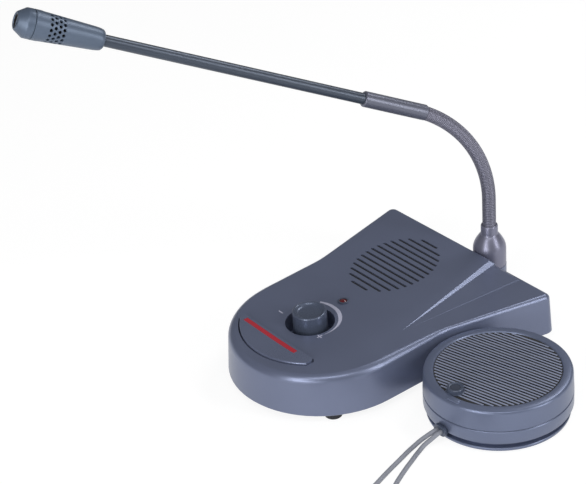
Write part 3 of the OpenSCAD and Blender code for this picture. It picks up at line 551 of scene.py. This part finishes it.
boot = {
    "foot": (7, 107.5, 22.0),
    "profile": ((7.7, 2.6), (7.7, 0.1), (11.2, 0.1), (11.3, 1), (11.3, 12), (11.1, 14), (10.6, 15.8), (9.8, 17.6),
        (8.7, 19.6), (7.5, 21.4), (6.5, 22.8), (6.0, 23.3), (5.8, 24), (5.8, 29.3), (5.4, 30.1), (5.0, 30.3), (4.8, 30.0),
        (4.75, 4), (7.7, 2.6)),
}


def makeBoot(facts):
    mesh = stand(turned(facts["profile"]), desk(*facts["foot"]))
    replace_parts(finishPiece(mesh, "neckBoot", "housing", "desk_unit", radians(50), False, "boot"), "neck_boot")


# dark cloth close under the top, so that the slots read dark: a dark sheet standing in as painted shade inside the
# slots
slotShadeCloth = {
    "middle": (-19.7, 45.3),
    "halves": (27.5, 36.8),
    "lean": 12.6,
    "below": 0.9,
    "thickness": 0.3,
}


def makeSlotShadeCloth(facts):
    mesh = bmesh.new()
    turn = Matrix.Rotation(radians(facts["lean"]), 4, "Z")
    spot = desk(*facts["middle"], topHeight - facts["below"] - facts["thickness"] / 2)
    size = Matrix.Diagonal((facts["halves"][0] * mm, facts["halves"][1] * mm, 1, 1))
    bmesh.ops.create_cone(mesh, cap_ends=True, segments=64, radius1=1, radius2=1, depth=facts["thickness"] * mm,
        matrix=Matrix.Translation(spot) @ turn @ size)
    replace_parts(finishPiece(mesh, "slotShadeCloth", "cloth", "desk_unit", radians(40), False), "grille_cloth")


puck = {
    "middle": (111.2, 15, 0),
    "radius": 46.5,
    "height": 31.6,
    "flare": 0.5,
    "seam": 17.0,
    "footTop": 3.6,
    "grooveDepth": 4.6,
    "grille": 39.9,
    "tabAngle": 98,
    "tabAt": 43,
    "tabSize": (3.4, 8.8, 2.6),
}


def makePuckBase(facts):
    radius, wide, seam, foot = facts["radius"], facts["radius"] + facts["flare"], facts["seam"], facts["footTop"]
    inner = radius - facts["grooveDepth"]
    profile = ((0, 1.2), (radius - 2.2, 1.2), (radius - 1.3, 1.8), (radius - 1.1, foot - 0.4), (radius - 1.5, foot),
        (inner, foot + 0.2), (inner, foot + 2.4), (radius - 0.4, foot + 4.2), (wide - 0.2, foot + 4.6), (wide, foot + 5.1),
        (wide, seam - 0.7), (wide - 0.5, seam - 0.2), (radius - 5, seam - 0.2), (radius - 5, 3.4), (0, 3.4))
    mesh = stand(turned(profile), desk(*facts["middle"]))
    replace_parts(finishPiece(mesh, "puckBase", "dark_plastic", "desk_unit", radians(35), False, "puck_shell"), "puck_base")


def makePuckCover(facts):
    radius, height, grille = facts["radius"], facts["height"], facts["grille"]
    wide, seam = radius + facts["flare"], facts["seam"] + 0.25
    mesh = turned(((grille, height - 5), (grille, height - 0.7), (grille + 0.5, height - 0.1), (grille + 1, height),
        (radius - 1.9, height - 0.25), (radius - 1.0, height - 0.5), (radius - 0.4, height - 1.1),
        (radius - 0.05, height - 2.0), (radius, height - 2.8), (wide, seam + 0.4), (wide - 0.3, seam),
        (radius - 1.6, seam), (radius - 2.2, height - 5), (grille, height - 5)))
    turn = Matrix.Rotation(radians(facts["tabAngle"]), 4, "Z")
    tab = block(mesh, turn @ Matrix.Translation(Vector((facts["tabAt"], 0, height - 0.7)) * mm), facts["tabSize"])
    rims = list({edge for vert in tab for edge in vert.link_edges})
    bmesh.ops.bevel(mesh, geom=rims, offset=0.5 * mm, offset_type="OFFSET", segments=3, profile=0.5,
        affect="EDGES", material=-1)
    stand(mesh, desk(*facts["middle"]))
    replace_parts(finishPiece(mesh, "puckCover", "puck_shell", "desk_unit", radians(38), False), "puck_cover")


slats = {
    "turn": 13.0,
    "count": 31,
    "gap": 1.45,
    "thickness": 0.25,
}


# painted slats lie on the grille's dark core, as the real ones show a dark gap below; their paint is a lighter copy of
# the puck's, a painted highlight for the light on their tops
def makeSlats(facts, shell):
    mesh = bmesh.new()
    reach = shell["grille"] - 0.5
    pitch = 2 * reach / facts["count"]
    turn = Matrix.Rotation(radians(facts["turn"]), 4, "Z")
    lift = (shell["height"] - 0.7 + facts["thickness"] / 2) * mm
    for i in range(1, facts["count"]):
        aside = (i - facts["count"] / 2) * pitch
        half = ((shell["grille"] - 0.6) ** 2 - aside ** 2) ** 0.5
        place = turn @ Matrix.Translation((0, aside * mm, lift))
        block(mesh, place, (2 * half, pitch - facts["gap"], facts["thickness"]))
    stand(mesh, desk(*shell["middle"]))
    finishPiece(mesh, "puckSlats", "puck_shell", "desk_unit", radians(30), False, "slat")


makeKnob(knob)
makeBoot(boot)
makeSlotShadeCloth(slotShadeCloth)
makePuckBase(puck)
makePuckCover(puck)
makeSlats(slats, puck)
refined("puck_grille", "puckGrille", 0, finishName="cloth")
refined("puck_speaker_frame", "puckSpeakerFrame", 0, finishName="cloth")
# the capsule behind the vents takes the near-black finish, partly as painted shade seen through the vents
refined("mic_capsule", "micCapsule", 0, finishName="cloth")
refined("cable_grommet", "cableGrommet", 0.2 * mm, finishName="dark_plastic")


# the volume marks are printed on the top: a crescent that widens clockwise, a minus and a plus
volumeMarks = {
    "knob": (-7, -38.5),
    "crescentOffset": (-1.9, 1.8),
    "outer": 20.6,
    "innerAt": ((-17, 18.2), (20, 18.1), (60, 18.4), (95, 20.0), (128, 21.9)),
    "minus": (-28.8, -45.4),
    "plus": (10.7, -45.0),
    "barLength": 4.2,
    "barWidth": 0.9,
    "dishMiddle": (0, -75.5),
    "dishRadius": 80,
    "dishSlope": 0.025,
    "lift": 0.05,
}


def onTop(x, y, facts):
    away = (Vector((x, y)) - Vector(facts["dishMiddle"])).length
    return desk(x, y, topHeight - facts["dishSlope"] * max(0, facts["dishRadius"] - away) + facts["lift"])


def makeVolumeMarks(facts):
    mesh = bmesh.new()
    knobX, knobY = facts["knob"]
    middleX, middleY = knobX + facts["crescentOffset"][0], knobY + facts["crescentOffset"][1]
    angles, radii = zip(*facts["innerAt"])
    rows = []
    for angle in range(angles[0], angles[-1], 5):
        k = max(i for i in range(len(angles) - 1) if angles[i] <= angle)
        inner = radii[k] + (radii[k + 1] - radii[k]) * (angle - angles[k]) / (angles[k + 1] - angles[k])
        way = (cos(radians(angle)), sin(radians(angle)))
        inside = onTop(knobX + inner * way[0], knobY + inner * way[1], facts)
        outside = onTop(middleX + facts["outer"] * way[0], middleY + facts["outer"] * way[1], facts)
        rows.append((mesh.verts.new(inside), mesh.verts.new(outside)))
    for (a, b), (c, d) in zip(rows, rows[1:]):
        mesh.faces.new((a, b, d, c))
    # bars: place, half size, and how far the plus's second bar lies over its first
    length, width = facts["barLength"] / 2, facts["barWidth"] / 2
    for (x, y), halfX, halfY, over in ((facts["minus"], length, width, 0), (facts["plus"], length, width, 0),
            (facts["plus"], width, length, 0.1)):
        corners = [onTop(x + i * halfX, y + j * halfY, facts) for i, j in ((-1, -1), (1, -1), (1, 1), (-1, 1))]
        mesh.faces.new([mesh.verts.new(place + Vector((0, 0, over * mm))) for place in corners])
    finishPiece(mesh, "volumeMarks", "housing", "desk_unit", radians(40), False, "print")


makeVolumeMarks(volumeMarks)
print("desk unit is made")


# the gooseneck's wound skin has one piece for each joint, cut where the links' middles are
gooseneck = {
    "foot": (7, 107.5),
    "azimuth": 250.0,
    "diameter": 9.3,
    "ribPitch": 1.3,
    "ribDepth": 0.45,
    "bendStart": 71.0,
    "bendRadius": 86.5,
    "bendAngle": 65.1,
    "links": 6,
    "lowest": 50.0,
    "sides": 40,
    "rib": ((0.0, 1.0), (0.14, 0.35), (0.32, 0.05), (0.5, 0.0), (0.68, 0.05), (0.86, 0.35)),  # along one rib: place, sink
}


# the neck's middle line at a length above the table: place, and the way it runs
def neckAt(length, facts):
    azimuth = radians(facts["azimuth"])
    out = Vector((cos(azimuth), sin(azimuth), 0))
    bend = radians(facts["bendAngle"])
    along = (length - facts["bendStart"]) / facts["bendRadius"]
    lean = min(max(along, 0), bend)
    past = max(0, along - bend) * facts["bendRadius"]
    reach = facts["bendRadius"] * (1 - cos(lean)) + past * sin(lean)
    height = min(length, facts["bendStart"]) + facts["bendRadius"] * sin(lean) + past * cos(lean)
    place = Vector((facts["foot"][0], facts["foot"][1], height)) + out * reach
    return place, out * sin(lean) + Vector((0, 0, cos(lean)))


def makeNeckSkin(name, start, end, facts):
    mesh = bmesh.new()
    azimuth = radians(facts["azimuth"])
    side = Vector((-sin(azimuth), cos(azimuth), 0))
    ribs = max(1, round((end - start) / facts["ribPitch"]))
    pitch = (end - start) / ribs
    crest = facts["diameter"] / 2
    depth = facts["ribDepth"]
    stations = [(start + (i + part) * pitch, crest - depth * sink) for i in range(ribs) for part, sink in facts["rib"]]
    stations.append((end, crest - depth))
    ring = None
    for length, radius in stations:
        place, way = neckAt(length, facts)
        across = side.cross(way)
        turn = Matrix((side, across, way)).transposed().to_4x4()
        made = bmesh.ops.create_circle(mesh, cap_ends=False, radius=radius * mm, segments=facts["sides"],
            matrix=Matrix.Translation(desk(*place)) @ turn)["verts"]
        edges = list({e for v in made for e in v.link_edges})
        if ring:
            bmesh.ops.bridge_loops(mesh, edges=ring + edges)
        ring = edges
    bmesh.ops.recalc_face_normals(mesh, faces=mesh.faces)
    return finishPiece(mesh, name, "neck_metal", None, radians(75), False)


def makeGooseneck(facts):
    count = facts["links"]
    linkTurn = radians(facts["bendAngle"] / count)
    arcPart = facts["bendRadius"] * linkTurn
    cuts = [facts["bendStart"] + arcPart * k for k in range(count + 1)]
    lowest = makeNeckSkin("neckSkinFoot", facts["lowest"], cuts[0], facts)
    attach(lowest, "neck")
    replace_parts(lowest, "neck_root")
    for k in range(count):
        skin = makeNeckSkin(f"neckSkin{k + 1}", cuts[k], cuts[k + 1], facts)
        start, end = (neckAt(cuts[k + j], facts)[0] for j in (0, 1))
        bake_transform(skin)
        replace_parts(skin, f"neck_link_{k + 1}")


microphone = {
    "headFrom": 216.3,  # along the neck from where its bend ends
    "length": 55.0,
    "radius": 9.25,
    "seam": 44.8,
    "ventRows": 4,
    "ventCount": 16,
    "ventFrom": 26.8,
    "ventPitch": 2.75,
    "ventWidth": 2.1,
}


# the round vents, as one mesh to cut with
def ventHoles(facts):
    mesh = bmesh.new()
    radius = facts["ventWidth"] / 2 * mm
    outward = Matrix.Rotation(pi / 2, 4, "Y") @ Matrix.Translation((0, 0, 8.5 * mm))
    for row in range(facts["ventRows"]):
        spot = Matrix.Translation((0, 0, (facts["ventFrom"] + facts["ventPitch"] * row) * mm))
        for i in range(facts["ventCount"]):
            turn = Matrix.Rotation(2 * pi * (i + row % 2 / 2) / facts["ventCount"], 4, "Z")
            bmesh.ops.create_cone(mesh, cap_ends=True, segments=16, radius1=radius, radius2=radius, depth=7 * mm,
                matrix=spot @ turn @ outward)
    return mesh


def makeMicrophone(facts, neck):
    start = neck["bendStart"] + neck["bendRadius"] * radians(neck["bendAngle"]) + facts["headFrom"]
    place, way = neckAt(start, neck)
    radius, seam, length = facts["radius"], facts["seam"], facts["length"]

    def headPiece(mesh, name, slotName, finishName):
        return finishPiece(stand(mesh, desk(*place), way), name, slotName, "microphone", radians(35), False, finishName)

    # painted shade: dark pieces behind the vents and in the nose, standing in for the shade there
    headPiece(turned(((5.3, 24.2), (6.1, 24.4), (6.9, 40), (6.3, 40.2), (5.3, 24.2))), "micLining", "cloth", None)
    headPiece(turned(((0, length - 3.4), (4.1, length - 3.4), (4.1, length - 0.55), (3.8, length - 0.6),
        (3.75, length - 2.9), (0, length - 2.9))), "micNoseShade", "cloth", None)
    shell = turned(((3.75, 0), (4.6, 0), (5.6, 0.4), (6.4, 1.3), (radius - 2.5, 2.8), (radius - 2.2, 5), (radius - 2.0, 8),
        (radius - 0.3, seam - 6), (radius - 0.05, seam - 4), (radius, seam - 0.25), (radius - 0.25, seam),
        (radius - 1.2, seam), (radius - 1.2, seam - 4), (radius - 2.6, 24), (5, 20), (3.75, 20), (3.75, 0)))
    shell = cutOut(shell, ventHoles(facts))
    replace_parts(headPiece(shell, "micHousing", "dark_plastic", "head"), "mic_housing")
    nose = turned(((radius - 1.1, seam + 0.25), (radius - 0.3, seam + 0.25), (radius - 0.05, seam + 0.5),
        (radius - 0.1, length - 6), (radius - 0.3, length - 5.4), (radius - 0.8, length - 4.7), (5.9, length - 0.6),
        (5.4, length - 0.15), (5, length), (4.5, length - 0.1), (4.2, length - 0.6), (4.15, length - 3),
        (6.9, length - 4.6), (7.4, seam + 0.6), (radius - 1.1, seam + 0.25)))
    block(nose, Matrix.Translation((0, 0, (length - 1.3) * mm)), (1.1, 8.6, 0.8))
    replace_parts(headPiece(nose, "micCap", "dark_plastic", "head"), "mic_cap")


makeMicrophone(microphone, gooseneck)
makeGooseneck(gooseneck)
print("gooseneck is made")


counter = {
    "halfWidth": 6.0,
    "white": 0.9,
    "glow": 1.1,
    "glowShare": 0.8,  # of what the camera, reflections and clear lenses see of it
}


def makeStage(facts):
    mesh = bmesh.new()
    bmesh.ops.create_grid(mesh, x_segments=1, y_segments=1, size=facts["halfWidth"])
    data = bpy.data.meshes.new("counter")
    mesh.to_mesh(data)
    mesh.free()
    floorPiece = bpy.data.objects.new("counter", data)
    bpy.context.scene.collection.objects.link(floorPiece)
    white = facts["white"]
    finish = Finish("counterWhite", {"Base Color": (white, white, white, 1), "Roughness": 0.7, "Specular IOR Level": 0.1})
    camera, glossy, clear = (finish.node("ShaderNodeLightPath", {}, {}, kind)
        for kind in ("Is Camera Ray", "Is Glossy Ray", "Is Transmission Ray"))
    glow = finish.node("ShaderNodeEmission", {}, {"Strength": facts["glow"]})
    seen = (camera + glossy + clear) * facts["glowShare"]
    mixed = finish.node("ShaderNodeMixShader", {}, {0: seen, 1: Signal(finish, finish.shader.outputs[0]), 2: glow})
    finish.feed(finish.output.inputs["Surface"], mixed)
    data.materials.append(finish.material)


lamps = {
    "world": 0.16,
    "left": {"place": (0.36, -1.2, 0.6), "size": (0.3, 1.0), "power": 7.5},
    "right": {"place": (1.17, 0.5, 0.62), "size": (0.3, 1.0), "power": 7.0},
    "low": {"place": (0.72, -1.25, 0.3), "size": (0.5, 0.4), "power": 3.0},
    "high": {"place": (0.6, -0.44, 1.22), "size": (0.9, 0.25), "power": 4.4},
    "rear": {"place": (-0.1, 0.9, 1.06), "size": (0.5, 0.4), "power": 4.4},
}


# soft boxes that face the model's origin, and a dim plain sky
def makeLamps(facts):
    for name in ("left", "right", "low", "high", "rear"):
        lamp = facts[name]
        data = bpy.data.lights.new(name + "Lamp", "AREA")
        data.shape = "RECTANGLE"
        data.size, data.size_y = lamp["size"]
        data.energy = lamp["power"]
        item = bpy.data.objects.new(name + "Lamp", data)
        bpy.context.scene.collection.objects.link(item)
        item.location = lamp["place"]
        back = Vector(lamp["place"]).normalized()
        level = Vector((0, 0, 1)).cross(back).normalized()
        item.rotation_euler = Matrix((level, back.cross(level), back)).transposed().to_euler()
    world = bpy.data.worlds.new("studio")
    bpy.context.scene.world = world
    world.use_nodes = True
    plain = world.node_tree.nodes["Background"]
    plain.inputs["Color"].default_value = (1, 1, 1, 1)
    plain.inputs["Strength"].default_value = facts["world"]


makeStage(counter)
makeLamps(lamps)
bpy.context.scene.view_settings.view_transform = "Standard"
print("stage is set")

bpy.context.view_layer.update()
